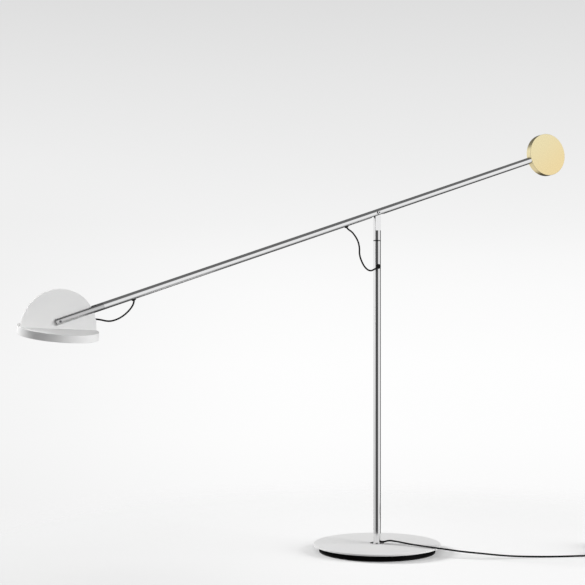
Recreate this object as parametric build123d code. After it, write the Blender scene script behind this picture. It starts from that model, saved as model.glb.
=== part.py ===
from build123d import *
import os
from math import cos, pi, radians, sin, sqrt, tan

# A counterweight balance desk lamp. Millimetres and degrees.
# The origin is on the floor under the stem's axis, +Z is up, and +X runs along the arm
# towards the brass counterweight. Each moving group is built in its own frame.

# ---- driving dimensions ---------------------------------------------------------------------
BASE_R = 120.0            # white base plate
BALLAST_R = 110.0         # black ballast disc under it
PAD_T = 2.0
BALLAST_T = 9.7
PLATE_T = 3.0
STEM_R = 7.0
STEM_BORE_R = 5.75
STEM_TOP = 587.0
PIVOT_Z = 641.2           # arm pivot above the floor
ARM_ANGLE = 17.7          # arm's rise towards the counterweight
ARM_R = 6.5
ARM_BORE_R = 5.5
ARM_RIGHT = 374.5         # arm tube's end at the counterweight, from the pivot
HEAD_REACH = 656.6        # arm pivot to head pivot
FORK_LENGTH = 82.0        # forked end that turns in the arm tube
FORK_TAIL = 7.0           # fork past the head pivot
WEIGHT_R = 42.0
WEIGHT_T = 13.2
WEIGHT_CENTRE = 416.0     # brass disc's centre along the arm
WEIGHT_ROLL = -4.7        # how the disc was left when its stud was tightened
HEAD_ROLL = 8.6           # fork's turn about the arm
HEAD_TILT = 20.6          # head's turn on its pivot
HEAD_R = 69.0             # lamp disc
HEAD_DROP = 13.3          # head pivot above the disc's top
HEAD_T = 13.1
FIN_R = 68.0
FIN_T = 4.0
SUPPLY_R = 1.6            # supply cord
LEAD_R = 1.55             # elbow lead
HEAD_LEAD_R = 1.5         # head lead
INNER_LEAD_R = 1.3        # leads inside the tubes, without the free leads' outer sleeve
COIL_PITCH = 3.7          # from one turn of the coil to the next
FIT = 0.05                # radial clearance of running fits

# ---- heights of the base stack --------------------------------------------------------------
BALLAST_Z = PAD_T
PLATE_Z = BALLAST_Z + BALLAST_T
FLOOR_TO_TOP = PLATE_Z + PLATE_T
STEM_FOOT = FLOOR_TO_TOP + 1.0

# ---- directions and frames ------------------------------------------------------------------
ALONG_X = Rot(0, 90, 0)       # stands a Z shape along +X
ALONG_Y = Rot(-90, 0, 0)      # stands a Z shape along +Y
ARM = Pos(0, 0, PIVOT_Z) * Rot(0, -ARM_ANGLE, 0)
FORK = ARM * Pos(-HEAD_REACH, 0, 0) * Rot(HEAD_ROLL, 0, 0)
HEAD = FORK * Rot(0, HEAD_TILT, 0)
WEIGHT = ARM * Rot(WEIGHT_ROLL, 0, 0)
FOOT_EXIT = Vector(0.5387, -0.8424, 0)      # supply cord leaves the stem's foot this way
FOOT_EXIT_Z = 18.5
NECK_EXIT = Vector(-0.187, -0.982, 0)       # elbow lead leaves the stem's neck this way
NECK_EXIT_Z = 539.1
ELBOW_COLLAR_X = -72.05                     # lead collars under the arm
HEAD_COLLAR_X = -517.5
COLLAR_FACE = -8.2
COLLAR_MOUTH = 0.9                          # depth of the sleeve's seat in each collar
ELBOW_SLANT = 25.3                          # how far each lead leans off square at its collar
HEAD_SLANT = -22.7


# ---- shapes used throughout -----------------------------------------------------------------
def cylinder(radius, low, high):
    """Round bar along Z between two heights."""
    return Pos(0, 0, low) * Cylinder(radius, high - low, align=(Align.CENTER, Align.CENTER, Align.MIN))


def ring(outer, inner, low, high):
    """Flat ring or sleeve along Z."""
    return cylinder(outer, low, high) - cylinder(inner, low - 1, high + 1)


def cone(low_radius, high_radius, low, high):
    """Tapered round bar along Z."""
    height = high - low
    return Pos(0, 0, low) * Cone(low_radius, high_radius, height, align=(Align.CENTER, Align.CENTER, Align.MIN))


def block(x, y, z):
    """Box between the low and high of each direction."""
    size = Box(x[1] - x[0], y[1] - y[0], z[1] - z[0])
    return Pos((x[0] + x[1]) / 2, (y[0] + y[1]) / 2, (z[0] + z[1]) / 2) * size


def hexagon(across_flats, low, high):
    """Hexagonal bar along Z, for sockets and nuts."""
    outline = RegularPolygon(across_flats / sqrt(3), 6)
    return extrude(Pos(0, 0, low) * outline, high - low)


def stadium(length, width, low, high):
    """Bar with a long round-ended section, its length along X."""
    return extrude(Pos(0, 0, low) * SlotOverall(length, width), high - low)


def towards(direction, height):
    """Frame whose +Z points along a level direction from the stem's axis."""
    return Location(Plane(origin=(0, 0, height), x_dir=(0, 0, 1), z_dir=direction))


def bent_tube(radius, points, radii):
    """Round tube along straight runs joined by tangent arcs of the given radii."""
    path = FilletPolyline(*points, radius=radii)
    return sweep((path ^ 0) * Circle(radius), path=path)


def corner_radii(points):
    """As large an arc at each point as its two runs allow."""
    radii = []
    for before, here, after in zip(points, points[1:], points[2:]):
        run_in = Vector(here) - Vector(before)
        run_out = Vector(after) - Vector(here)
        half_turn = radians(run_in.get_angle(run_out)) / 2
        radii.append(0.45 * min(run_in.length, run_out.length) / tan(half_turn))
    return radii


def free_lead(name, radius, points):
    """Tube along a hand-laid route, with its radii and volume printed."""
    radii = corner_radii(points)
    path = FilletPolyline(*points, radius=radii)
    tube = sweep((path ^ 0) * Circle(radius), path=path)
    expected = pi * radius**2 * path.length
    print(name, "radii", [round(r, 1) for r in radii])
    print(name, "length", round(path.length, 1), "volume over section x length", round(tube.volume / expected, 4))
    return tube


# ---- base: pad, ballast, plate and what holds them together ---------------------------------
BOLT_R = 2.5
BOLT_HOLE_R = 2.75
WELL_R = 11.0             # counterbore under the ballast for the bolt's head and washer
WELL_TOP = 8.7
SCREW_CIRCLE = 80.0       # four screws hold the plate to the ballast


def ballast_screw_places():
    return [Rot(0, 0, 45 + 90 * index) * Pos(SCREW_CIRCLE, 0, 0) for index in range(4)]


def base_pad():
    """Soft pad glued under the ballast, over the screws."""
    return cylinder(BALLAST_R, 0, PAD_T)


def base_ballast():
    """Heavy steel disc, set back under the plate so that it reads as a dark shadow line."""
    disc = cylinder(BALLAST_R, BALLAST_Z, PLATE_Z)
    disc = fillet(disc.edges().filter_by(GeomType.CIRCLE).sort_by(Axis.Z)[0], 0.6)
    disc -= cylinder(WELL_R, BALLAST_Z - 1, WELL_TOP)
    disc -= cylinder(BOLT_HOLE_R, BALLAST_Z, PLATE_Z + 1)
    for place in ballast_screw_places():
        disc -= place * cylinder(2.1, BALLAST_Z - 1, PLATE_Z + 1)
        disc -= place * cone(4.2, 2.1, BALLAST_Z, BALLAST_Z + 2.1)
    return disc


def base_plate():
    """Thin white steel plate that overhangs the ballast."""
    plate = cylinder(BASE_R, PLATE_Z, FLOOR_TO_TOP)
    plate = fillet(plate.edges().filter_by(GeomType.CIRCLE), 0.4)
    plate -= cylinder(BOLT_HOLE_R, PLATE_Z - 1, FLOOR_TO_TOP + 1)
    for place in ballast_screw_places():
        plate -= place * cylinder(2.1, PLATE_Z - 1, PLATE_Z + 2.2)
    return plate


def ballast_screws():
    """Four countersunk M4 screws driven up from below."""
    screw = cone(4.0, 2.0, BALLAST_Z + 0.1, BALLAST_Z + 2.1) + cylinder(2.0, BALLAST_Z + 2.1, PLATE_Z + 2.0)
    screw -= hexagon(2.5, BALLAST_Z, BALLAST_Z + 1.6)
    return Compound([place * screw for place in ballast_screw_places()])


def stem_bolt():
    """M5 socket screw from under the base into the stem's plug."""
    bolt = cylinder(4.25, 2.7, WELL_TOP - 1.0) + cylinder(BOLT_R, WELL_TOP - 1.0, 38.0)
    return bolt - hexagon(4.0, 2.6, 5.4)


def bolt_washer():
    return ring(10.0, 2.6, WELL_TOP - 1.0, WELL_TOP)


def foot_washer():
    """Thin polished washer that shows round the stem's foot."""
    return ring(13.5, BOLT_HOLE_R, FLOOR_TO_TOP, STEM_FOOT)


# ---- stem: tube, threaded plug, and the lead inside it --------------------------------------
FOOT = towards(FOOT_EXIT, FOOT_EXIT_Z)
NECK = towards(NECK_EXIT, NECK_EXIT_Z)
FOOT_FACE = 7.6           # supply cord's gland stands this far from the stem's axis
NECK_FACE = 8.6
PLUG_TOP = 45.7


def stem_plug():
    """Threaded plug pressed in the tube's foot, with a groove for the lead."""
    plug = ring(STEM_BORE_R - FIT, 2.55, STEM_FOOT, PLUG_TOP)
    groove = block((2.7, STEM_R), (-1.5, 1.5), (FOOT_EXIT_Z - 2.2, PLUG_TOP + 1))
    return plug - Rot(0, 0, Vector(1, 0, 0).get_signed_angle(FOOT_EXIT, Vector(0, 0, 1))) * groove


def stem_tube():
    """Polished steel tube with one hole at the foot and one at the neck for the cords."""
    tube = ring(STEM_R, STEM_BORE_R, STEM_FOOT, STEM_TOP)
    tube -= FOOT * cylinder(2.2, 0, STEM_R + 1)
    tube -= NECK * cylinder(2.6, 0, STEM_R + 1)
    return tube


def foot_gland():
    """Small black gland where the supply cord leaves the stem's foot."""
    gland = FOOT * (cylinder(2.15, STEM_BORE_R + 0.2, FOOT_FACE) + cylinder(2.3, STEM_R - 0.6, FOOT_FACE))
    gland -= cylinder(STEM_BORE_R, 0, 40)
    gland -= ring(STEM_R, STEM_BORE_R, 0, 40) - FOOT * cylinder(2.15, 0, STEM_R + 1)
    return gland - FOOT * cylinder(INNER_LEAD_R + FIT, 0, FOOT_FACE + 1)


def stem_grommet():
    """Round black grommet where the elbow lead leaves the stem's neck."""
    collar = NECK * (cylinder(2.55, STEM_BORE_R - 0.4, NECK_FACE) + cylinder(4.6, STEM_R - 1.8, NECK_FACE))
    edges = collar.edges().filter_by(GeomType.CIRCLE).sort_by(Axis((0, 0, 0), tuple(NECK_EXIT)))
    collar = fillet(edges[-1], 0.5)
    shell = ring(STEM_R + 0.02, STEM_BORE_R - 0.1, 500, 570) - NECK * cylinder(2.55, 0, STEM_R + 1)
    inside = cylinder(STEM_BORE_R - 0.1, 500, 570) - NECK * cylinder(2.55, 0, STEM_R + 1)
    return collar - shell - inside - NECK * cylinder(INNER_LEAD_R + FIT, 0, NECK_FACE + 1)


def stem_lead():
    """Lead from the foot gland up through the stem to the neck grommet."""
    foot_in = FOOT_EXIT * 4.15
    far_wall = NECK_EXIT * -3.4
    points = [
        FOOT_EXIT * FOOT_FACE + Vector(0, 0, FOOT_EXIT_Z),
        foot_in + Vector(0, 0, FOOT_EXIT_Z),
        foot_in + Vector(0, 0, 60),
        far_wall + Vector(0, 0, 500),
        far_wall + Vector(0, 0, NECK_EXIT_Z),
        NECK_EXIT * NECK_FACE + Vector(0, 0, NECK_EXIT_Z),
    ]
    return bent_tube(INNER_LEAD_R, points, [1.7, 60, 60, 7])


# ---- swivel: the bladed head that turns on the stem -----------------------------------------
BUSH_LOW = 560.0
SWIVEL_FOOT = STEM_TOP + 1.85
SWIVEL_SHOULDER = 607.3
BLADE_HALF = 4.0
SHANK_R = 4.0
CROWN_R = 5.3             # crown fits inside the arm tube's bore


def swivel_bush():
    """Black nylon bush: its sleeve lines the stem and its rim shows as a thin ring."""
    bush = ring(STEM_BORE_R - FIT, SHANK_R + FIT, BUSH_LOW, STEM_TOP)
    return bush + ring(STEM_R + 0.1, SHANK_R + FIT, STEM_TOP, STEM_TOP + 1.8)


def swivel_head():
    """Turned steel head: round below, two flats above, and a crown round the pivot."""
    outline = Polyline(
        (0, SWIVEL_FOOT),
        (STEM_R, SWIVEL_FOOT),
        (STEM_R, PIVOT_Z - 8.0),
        (CROWN_R, PIVOT_Z - 3.0),
        (0, PIVOT_Z - 3.0),
        close=True,
    )
    body = revolve(Plane.XZ * make_face(outline), Axis.Z)
    body += Pos(0, 0, PIVOT_Z) * Sphere(CROWN_R)
    body += cylinder(CROWN_R, PIVOT_Z - 3.0, PIVOT_Z)
    side = block((-10, 10), (BLADE_HALF, 10), (SWIVEL_SHOULDER, PIVOT_Z + 10))
    body = body - side - mirror(side, Plane.XZ)
    body -= Pos(0, 0, PIVOT_Z) * ALONG_Y * cylinder(2.05, -10, 10)
    body += cylinder(SHANK_R, BUSH_LOW - 4.0, SWIVEL_FOOT)
    return body + cylinder(3.0, 546.0, BUSH_LOW - 4.0)


def swivel_washer():
    return ring(5.5, SHANK_R + 0.1, BUSH_LOW - 1.05, BUSH_LOW - 0.05)


def swivel_spring():
    """Conical disc spring that keeps the swivel's drag even."""
    high = BUSH_LOW - 1.1
    low = BUSH_LOW - 4.0
    outline = Polyline(
        (SHANK_R + 0.15, low),
        (SHANK_R + 0.15, low + 0.6),
        (5.5, high),
        (5.5, high - 0.6),
        close=True,
    )
    return revolve(Plane.XZ * make_face(outline), Axis.Z)


def swivel_nut():
    """Round nut on the swivel's thread, with two slots for a pin driver."""
    nut = ring(5.4, 3.0, 550.0, 556.0)
    return nut - block((-6, 6), (-0.8, 0.8), (549.0, 551.5))


# ---- arm: tube, pivot and what it carries ---------------------------------------------------
SLOT_LEFT = -15.4         # slot under the arm that lets the blade in
SLOT_RIGHT = 11.2
SLOT_HALF = 4.1
ARM_LEFT = FORK_LENGTH - HEAD_REACH + 0.15
PIN_X = 100.0 - HEAD_REACH           # dowel that keeps the fork in the tube
SADDLE_FACE = 7.0
BOLT_HEAD_R = 3.4


def collar_hole(x):
    """Slot in the tube's wall for a lead collar."""
    return Pos(x, 0, 0) * stadium(6.3, 3.3, -8, 0)


def arm_tube():
    """Polished aluminium tube, slotted over the blade and drilled for the pivot."""
    tube = ALONG_X * ring(ARM_R, ARM_BORE_R, ARM_LEFT, ARM_RIGHT)
    tube -= block((SLOT_LEFT, SLOT_RIGHT), (-SLOT_HALF, SLOT_HALF), (-8, 0))
    tube -= ALONG_Y * cylinder(2.05, -8, 8)
    tube -= collar_hole(ELBOW_COLLAR_X) + collar_hole(HEAD_COLLAR_X)
    tube -= Pos(PIN_X, 0, 0) * cylinder(1.0, -8, 0)
    return tube


def pivot_saddles():
    """Two washers, hollowed on one side to sit on the round tube."""
    washer = ALONG_Y * ring(BOLT_HEAD_R, 2.05, 4.5, SADDLE_FACE)
    washer -= ALONG_X * cylinder(ARM_R + 0.02, -10, 10)
    return Compound([washer, mirror(washer, Plane.XZ)])


def pivot_bolt():
    """M4 button screw through the saddles, tube and blade, with a hex socket."""
    shank = cylinder(2.0, -SADDLE_FACE, 9.4)
    head = cylinder(BOLT_HEAD_R, -SADDLE_FACE - 2.2, -SADDLE_FACE)
    head = fillet(head.edges().filter_by(GeomType.CIRCLE).sort_by(Axis.Z)[0], 0.7)
    return ALONG_Y * (shank + head - hexagon(2.8, -10, -SADDLE_FACE - 0.6))


def pivot_nut():
    """Domed cap nut behind the arm."""
    nut = hexagon(6.6, SADDLE_FACE, 10.0) & cone(4.6, 2.9, SADDLE_FACE, 10.4)
    nut += cylinder(2.9, 9.9, 10.4)
    return ALONG_Y * (nut - cylinder(2.02, 6, 9.5))


def pivot_shims():
    """Nylon discs between the blade and the tube's bore, curved at the back."""
    shim = ALONG_Y * ring(3.4, 2.05, BLADE_HALF + 0.1, ARM_BORE_R)
    shim &= ALONG_X * cylinder(ARM_BORE_R - 0.05, -5, 5)
    return Compound([shim, mirror(shim, Plane.XZ)])


def collar(x, slant, lead_radius):
    """Long black collar under the arm, with the lead's stepped hole leaning along the arm."""
    lip = stadium(8.0, 4.0, COLLAR_FACE, -5.9) - ALONG_X * cylinder(ARM_R + 0.02, -10, 10)
    throat = stadium(6.2, 3.2, -7.0, -5.0)
    hole = cylinder(INNER_LEAD_R + FIT, -3, 10) + cylinder(lead_radius + FIT, -3, COLLAR_MOUTH)
    return Pos(x, 0, 0) * (lip + throat - Pos(0, 0, COLLAR_FACE) * Rot(0, -slant, 0) * hole)


def arm_lead():
    """Lead inside the arm, from the elbow collar to the head collar."""
    height = 1.5
    rise = height - COLLAR_FACE
    points = [
        (ELBOW_COLLAR_X, 0, COLLAR_FACE),
        (ELBOW_COLLAR_X - rise * tan(radians(ELBOW_SLANT)), 0, height),
        (HEAD_COLLAR_X - rise * tan(radians(HEAD_SLANT)), 0, height),
        (HEAD_COLLAR_X, 0, COLLAR_FACE),
    ]
    return bent_tube(INNER_LEAD_R, points, [6, 6])


def arm_end_plug():
    """Threaded plug pressed in the arm's end for the counterweight's stud."""
    return ALONG_X * ring(ARM_BORE_R - 0.05, 3.0, ARM_RIGHT - 20.0, ARM_RIGHT)


WEIGHT_FLAT = ARM_RIGHT + 0.1        # small flat on the disc's rim that meets the tube
STUD_R = 2.95


def counterweight():
    """Solid brass disc on edge, with a flat and a tapped hole in its rim."""
    disc = Pos(WEIGHT_CENTRE, 0, 0) * ALONG_Y * cylinder(WEIGHT_R, -WEIGHT_T / 2, WEIGHT_T / 2)
    disc = chamfer(disc.edges().filter_by(GeomType.CIRCLE), 0.25)
    disc -= block((WEIGHT_FLAT - 5, WEIGHT_FLAT), (-9, 9), (-15, 15))
    return disc - ALONG_X * cylinder(3.0, WEIGHT_FLAT - 5, 393.0)


def counterweight_stud():
    return ALONG_X * cylinder(STUD_R, 360.0, 392.0)


# ---- fork: the slotted end that turns in the arm and holds the head -------------------------
FORK_SLOT_HALF = 2.5
FORK_SLOT_END = 70.0
SPIGOT_R = ARM_BORE_R - 0.07
SPIGOT_END = 122.0
GROOVE_X = 100.0
O_RING_X = 112.0


def head_fork():
    """Aluminium bar, slotted over the fin, with a spigot that turns in the arm tube."""
    bar = ALONG_X * cylinder(ARM_R, -FORK_TAIL, FORK_LENGTH)
    bar += ALONG_X * cylinder(SPIGOT_R, FORK_LENGTH, SPIGOT_END)
    bar -= ALONG_X * ring(8, SPIGOT_R - 1.6, GROOVE_X - 1.1, GROOVE_X + 1.1)
    bar -= ALONG_X * ring(8, 3.55, O_RING_X - 1.0, O_RING_X + 1.0)
    bar -= block((-FORK_TAIL - 1, FORK_SLOT_END), (-FORK_SLOT_HALF, FORK_SLOT_HALF), (-8, 8))
    bar -= ALONG_Y * cylinder(1.55, -8, 8)
    return bar - ALONG_Y * cylinder(2.6, -8, -4.4)


def fork_o_ring():
    """Rubber ring that gives the roll its drag."""
    return Pos(O_RING_X, 0, 0) * ALONG_X * Torus(4.5, 0.9)


def fork_pin():
    """Steel dowel through the tube's wall into the fork's groove."""
    return Pos(PIN_X, 0, 0) * cylinder(0.98, -ARM_R + 0.05, -4.1)


def head_pivot_screw():
    """M3 screw let flush into the near ear and threaded in the far ear."""
    screw = cylinder(1.5, -4.4, 6.0) + cylinder(2.5, -6.2, -4.4)
    return ALONG_Y * (screw - hexagon(2.0, -7, -5.0))


def fin_washers():
    washer = ALONG_Y * ring(5.0, 1.55, FIN_T / 2 + 0.02, FORK_SLOT_HALF - 0.02)
    return Compound([washer, mirror(washer, Plane.XZ)])


# ---- head: fin, disc housing and the light inside -------------------------------------------
DISC_TOP = -HEAD_DROP
DISC_WALL = 1.6
DISC_BOTTOM = DISC_TOP - HEAD_T
PLATE_UNDER = DISC_TOP - DISC_WALL
BOARD_TOP = PLATE_UNDER - 0.05
BOARD_LOW = BOARD_TOP - 1.2
LEAD_DROP_X = 53.4        # head lead goes down through the fin here
LEAD_IN_Z = 5.6           # and comes in through the fin's rim at this height
LEAD_IN_X = 64.6
FIN_SCREW_X = (-45.0, 0.0, 45.0)
KNOB_ANGLE = 19.0         # dimmer knob's place, behind the fin's far end
KNOB_CIRCLE = 66.4
KNOB_R = 2.1
KNOB_TOP = DISC_TOP + 3.2
KNOB = Rot(0, 0, 180 - KNOB_ANGLE) * Pos(KNOB_CIRCLE, 0, 0)
SWITCH = Rot(0, 0, 180 - KNOB_ANGLE)


def lead_channel(radius):
    """The way of the lead in the fin: in at the rim, then down into the disc."""
    across = Pos(0, 0, LEAD_IN_Z) * ALONG_X * cylinder(radius, LEAD_DROP_X, FIN_R)
    down = Pos(LEAD_DROP_X, 0, 0) * cylinder(radius, DISC_TOP - 3, LEAD_IN_Z)
    return across + down + Pos(LEAD_DROP_X, 0, LEAD_IN_Z) * Sphere(radius)


def fin():
    """Half-round steel fin that stands on the disc and swings in the fork."""
    disc = Pos(0, 0, DISC_TOP) * ALONG_Y * cylinder(FIN_R, -FIN_T / 2, FIN_T / 2)
    disc = fillet(disc.edges().filter_by(GeomType.CIRCLE), 0.3)
    plate = disc & block((-80, 80), (-5, 5), (DISC_TOP, 80))
    plate -= ALONG_Y * cylinder(1.55, -5, 5)
    for x in FIN_SCREW_X:
        plate -= Pos(x, 0, 0) * cylinder(1.25, DISC_TOP - 1, DISC_TOP + 7.5)
    plate -= Pos(0, 0, LEAD_IN_Z) * ALONG_X * cylinder(HEAD_LEAD_R + 0.15, LEAD_IN_X - 0.1, FIN_R)
    return plate - lead_channel(INNER_LEAD_R + 0.15)


def lamp_housing():
    """Shallow spun aluminium dish, white outside, open below."""
    dish = cylinder(HEAD_R, DISC_BOTTOM, DISC_TOP)
    dish = fillet(dish.edges().filter_by(GeomType.CIRCLE).sort_by(Axis.Z)[-1], 0.6)
    dish -= cylinder(HEAD_R - DISC_WALL, DISC_BOTTOM - 1, PLATE_UNDER)
    dish -= KNOB * cylinder(1.25, DISC_BOTTOM, 0)
    dish -= KNOB * cylinder(1.75, DISC_BOTTOM + 5.0, PLATE_UNDER)
    dish -= Pos(LEAD_DROP_X, 0, 0) * cylinder(INNER_LEAD_R + 0.15, DISC_BOTTOM, 0)
    for x in FIN_SCREW_X:
        dish -= Pos(x, 0, 0) * cylinder(1.35, DISC_BOTTOM, 0)
        dish -= Pos(x, 0, 0) * cone(2.45, 1.35, PLATE_UNDER, PLATE_UNDER + 1.1)
    return dish


def fin_screws():
    """Three countersunk M2.5 screws from inside the disc into the fin."""
    screw = cone(2.35, 1.2, PLATE_UNDER, PLATE_UNDER + 1.15) + cylinder(1.2, PLATE_UNDER + 1.1, DISC_TOP + 6.5)
    screw -= hexagon(1.5, PLATE_UNDER - 1, PLATE_UNDER + 0.8)
    return Compound([Pos(x, 0, 0) * screw for x in FIN_SCREW_X])


def led_board():
    """Round aluminium board with a tongue that carries the dimmer switch."""
    board = cylinder(60.0, BOARD_LOW, BOARD_TOP)
    board += SWITCH * block((50, 67), (-3.5, 3.5), (BOARD_LOW, BOARD_TOP))
    board -= KNOB * cylinder(1.75, BOARD_LOW - 1, BOARD_TOP + 1)
    return board - Pos(LEAD_DROP_X, 0, 0) * cylinder(1.8, BOARD_LOW - 1, BOARD_TOP + 1)


def leds():
    """Twenty-four small emitters in two rings."""
    chip = block((-1.5, 1.5), (-1.5, 1.5), (BOARD_LOW - 0.7, BOARD_LOW))
    inner = [Rot(0, 0, 45 * index + 22.5) * Pos(22, 0, 0) * chip for index in range(8)]
    outer = [Rot(0, 0, 22.5 * index + 11.25) * Pos(46, 0, 0) * chip for index in range(16)]
    return Compound(inner + outer)


def reflector_ring():
    """White ring that spaces the diffuser from the board and throws light inwards."""
    outline = Polyline(
        (60.3, BOARD_TOP),
        (61.8, BOARD_TOP),
        (61.8, BOARD_LOW),
        (67.2, DISC_BOTTOM + 5.0),
        (67.2, DISC_BOTTOM + 4.0),
        (66.0, DISC_BOTTOM + 4.0),
        (60.3, BOARD_LOW - 0.6),
        close=True,
    )
    body = revolve(Plane.XZ * make_face(outline), Axis.Z)
    return body - SWITCH * block((58, 70), (-3.8, 3.8), (BOARD_LOW - 2.7, BOARD_TOP + 1))


def diffuser():
    """Opal sheet."""
    return cylinder(67.2, DISC_BOTTOM + 1.55, DISC_BOTTOM + 3.95)


def bezel_ring():
    """Thin ring that snaps in the dish and holds the diffuser."""
    return ring(67.3, 63.5, DISC_BOTTOM + 0.2, DISC_BOTTOM + 1.5)


def fin_lead():
    """Lead inside the fin, from the rim down to the board."""
    points = [(LEAD_IN_X, 0, LEAD_IN_Z), (LEAD_DROP_X, 0, LEAD_IN_Z), (LEAD_DROP_X, 0, BOARD_LOW)]
    return bent_tube(INNER_LEAD_R - 0.05, points, [1.4])


def dimmer_switch():
    """Reverse-mounted switch under the board's tongue."""
    return SWITCH * block((62.2, 67.1), (-3.0, 3.0), (BOARD_LOW - 2.4, BOARD_LOW - 0.02))


def dimmer_button():
    """Pale touch knob on the disc's edge: cap, shaft and retaining flange."""
    cap = cylinder(KNOB_R, DISC_TOP + 0.7, KNOB_TOP)
    cap = fillet(cap.edges().filter_by(GeomType.CIRCLE).sort_by(Axis.Z)[-1], 0.5)
    shaft = cylinder(1.2, PLATE_UNDER - 0.4, DISC_TOP + 1.0)
    flange = cylinder(1.5, PLATE_UNDER - 0.4, PLATE_UNDER - 0.05)
    return KNOB * (cap + shaft + flange)


# ---- leads that hang free between the moving groups -----------------------------------------
# Each is cut in two where it lies free, so that each half belongs to one joint.
ELBOW_ROUTE = [
    (-1.61, -8.45, 539.1),
    (-3.0, -15.8, 539.1),
    (-9.0, -21.3, 538.6),
    (-17.6, -22.3, 533.9),
    (-26.2, -18.8, 529.6),
    (-33.6, -14.2, 535.2),
    (-38.9, -9.6, 546.4),
    (-42.6, -6.2, 561.5),
    (-40.6, -4.2, 573.5),
    (-43.3, -2.2, 588.2),
    (-54.2, -0.6, 603.2),
    (-62.75, 0, 607.83),
    (-66.15, 0, 611.48),
]
ELBOW_SPLIT = 7           # the cut is halfway from this point to the next
HEAD_ROUTE = [
    (-490.51, 0, 476.05),
    (-490.95, 0, 471.07),
    (-495.2, 0.4, 463.6),
    (-501.1, 0.7, 456.8),
    (-509.5, 1.1, 449.6),
    (-520.5, 1.6, 443.4),
    (-535.5, 2.0, 439.4),
    (-553.77, 2.98, 443.75),
    (-560.78, 2.61, 444.08),
]
HEAD_SPLIT = 4


def halves(route, split):
    """The route cut at the middle of one of its runs."""
    cut = tuple((a + b) / 2 for a, b in zip(route[split], route[split + 1]))
    return route[: split + 1] + [cut], [cut] + route[split + 1 :]


# ---- supply cord: gland, free stretch, put-away coil and mains adapter ----------------------
SUPPLY_ROUTE = [
    (4.09, -6.40, 18.5),
    (7.9, -12.35, 18.5),
    (12.9, -20.1, 21.2),
    (21.5, -33.6, 22.7),
    (35.6, -55.6, 20.4),
    (52.8, -82.6, 18.4),
    (73.9, -113.8, 17.9),
    (99.5, -138.3, 14.4),
    (134.1, -158.5, 9.6),
    (172.3, -173.8, 4.6),
    (209.7, -186.4, 2.0),
    (251.7, -205.4, 1.65),
    (296.0, -222.1, 1.65),
    (326.5, -235.0, 2.5),
    (351.3, -247.9, 2.5),
]
COIL_HEADING = Vector(0.8878, -0.4602, 0)
COIL_LEFT = Vector(0.4602, 0.8878, 0)
COIL_IN = 4.0             # straight length before the first turn
COIL_OUT = 12.0           # straight length after the last
INNER_TURN = 15.0         # radius of the coil's inner half turns
TURN_STEP = COIL_PITCH / 2
OUTWARD = [INNER_TURN + TURN_STEP * index for index in range(5)]


def coil_half_turns():
    """Radius and climb of each half turn: four layers, spiralling in and out in turn."""
    inner_climb = [(INNER_TURN - TURN_STEP, COIL_PITCH)]
    outer_climb = [(OUTWARD[-1] + TURN_STEP, COIL_PITCH)]
    outward = [(radius, 0) for radius in OUTWARD]
    inward = outward[::-1]
    return inward[1:] + inner_climb + outward + outer_climb + inward + inner_climb + outward


def coil_edges():
    """The coil's centreline, and where it ends."""
    start = Vector(*SUPPLY_ROUTE[-1])
    here = start + COIL_HEADING * COIL_IN
    heading = COIL_HEADING
    left = COIL_LEFT
    edges = [Line(start, here)]
    for radius, climb in coil_half_turns():
        end = here + left * (2 * radius) + Vector(0, 0, climb)
        middle = (here + end) / 2 + heading * sqrt(radius**2 + (climb / 2) ** 2)
        edges.append(ThreePointArc(here, middle, end))
        here = end
        heading = -heading
        left = -left
    radius = OUTWARD[-1] + TURN_STEP
    centre = here + left * radius
    end = centre + heading * radius
    edges.append(ThreePointArc(here, centre + (heading - left) * (radius / sqrt(2)), end))
    out = end + left * COIL_OUT
    edges.append(Line(end, out))
    return edges, out


def turn_gap(edges, spacing=1.5):
    """Least gap between turns, measured on points along the centreline."""
    points = []
    for edge in edges:
        count = max(2, round(edge.length / spacing))
        points += [edge @ (index / count) for index in range(count)]
    apart = round(20 / spacing)      # points nearer than this along the cord are neighbours
    least = min((a - b).length for i, a in enumerate(points) for b in points[i + apart :])
    return least - 2 * SUPPLY_R


def cord_coil():
    """The put-away length, wound into one neat coil of four layers."""
    edges, _ = coil_edges()
    path = Wire([item.edge() for item in edges])
    tube = sweep((path ^ 0) * Circle(SUPPLY_R), path=path)
    print("coil length", round(path.length, 1), "least gap between turns", round(turn_gap(edges), 2))
    return tube


def cord_tie():
    """Flat strap round the coil's bundle, on the far side from where the cord comes in."""
    low = 30.8
    high = 47.3
    top = 16.2
    strap = block((low, high), (-2.5, 2.5), (0, top))
    strap -= block((low + 0.5, high - 0.5), (-3, 3), (0.5, top - 0.5))
    start = Vector(*SUPPLY_ROUTE[-1]) + COIL_HEADING * COIL_IN
    return Pos(start.X, start.Y, 0) * Rot(0, 0, ADAPTER_TURN) * strap


ADAPTER_TURN = Vector(1, 0, 0).get_angle(COIL_LEFT)
CASE_NEAR = 20.5          # case starts this far along from the cord's end
CASE_FAR = 80.5
CASE_HALF_WIDTH = 17.0
CASE_H = 26.0
CASE_WALL = 2.0
LID_T = 2.5
PIN_R = 2.0
PIN_LENGTH = 19.0
PIN_HALF_PITCH = 9.3


def adapter_frame():
    """Frame of the mains adapter: +X along it from the cord's end, on the floor."""
    _, out = coil_edges()
    return Pos(out.X, out.Y, 0) * Rot(0, 0, ADAPTER_TURN), out.Z


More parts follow.
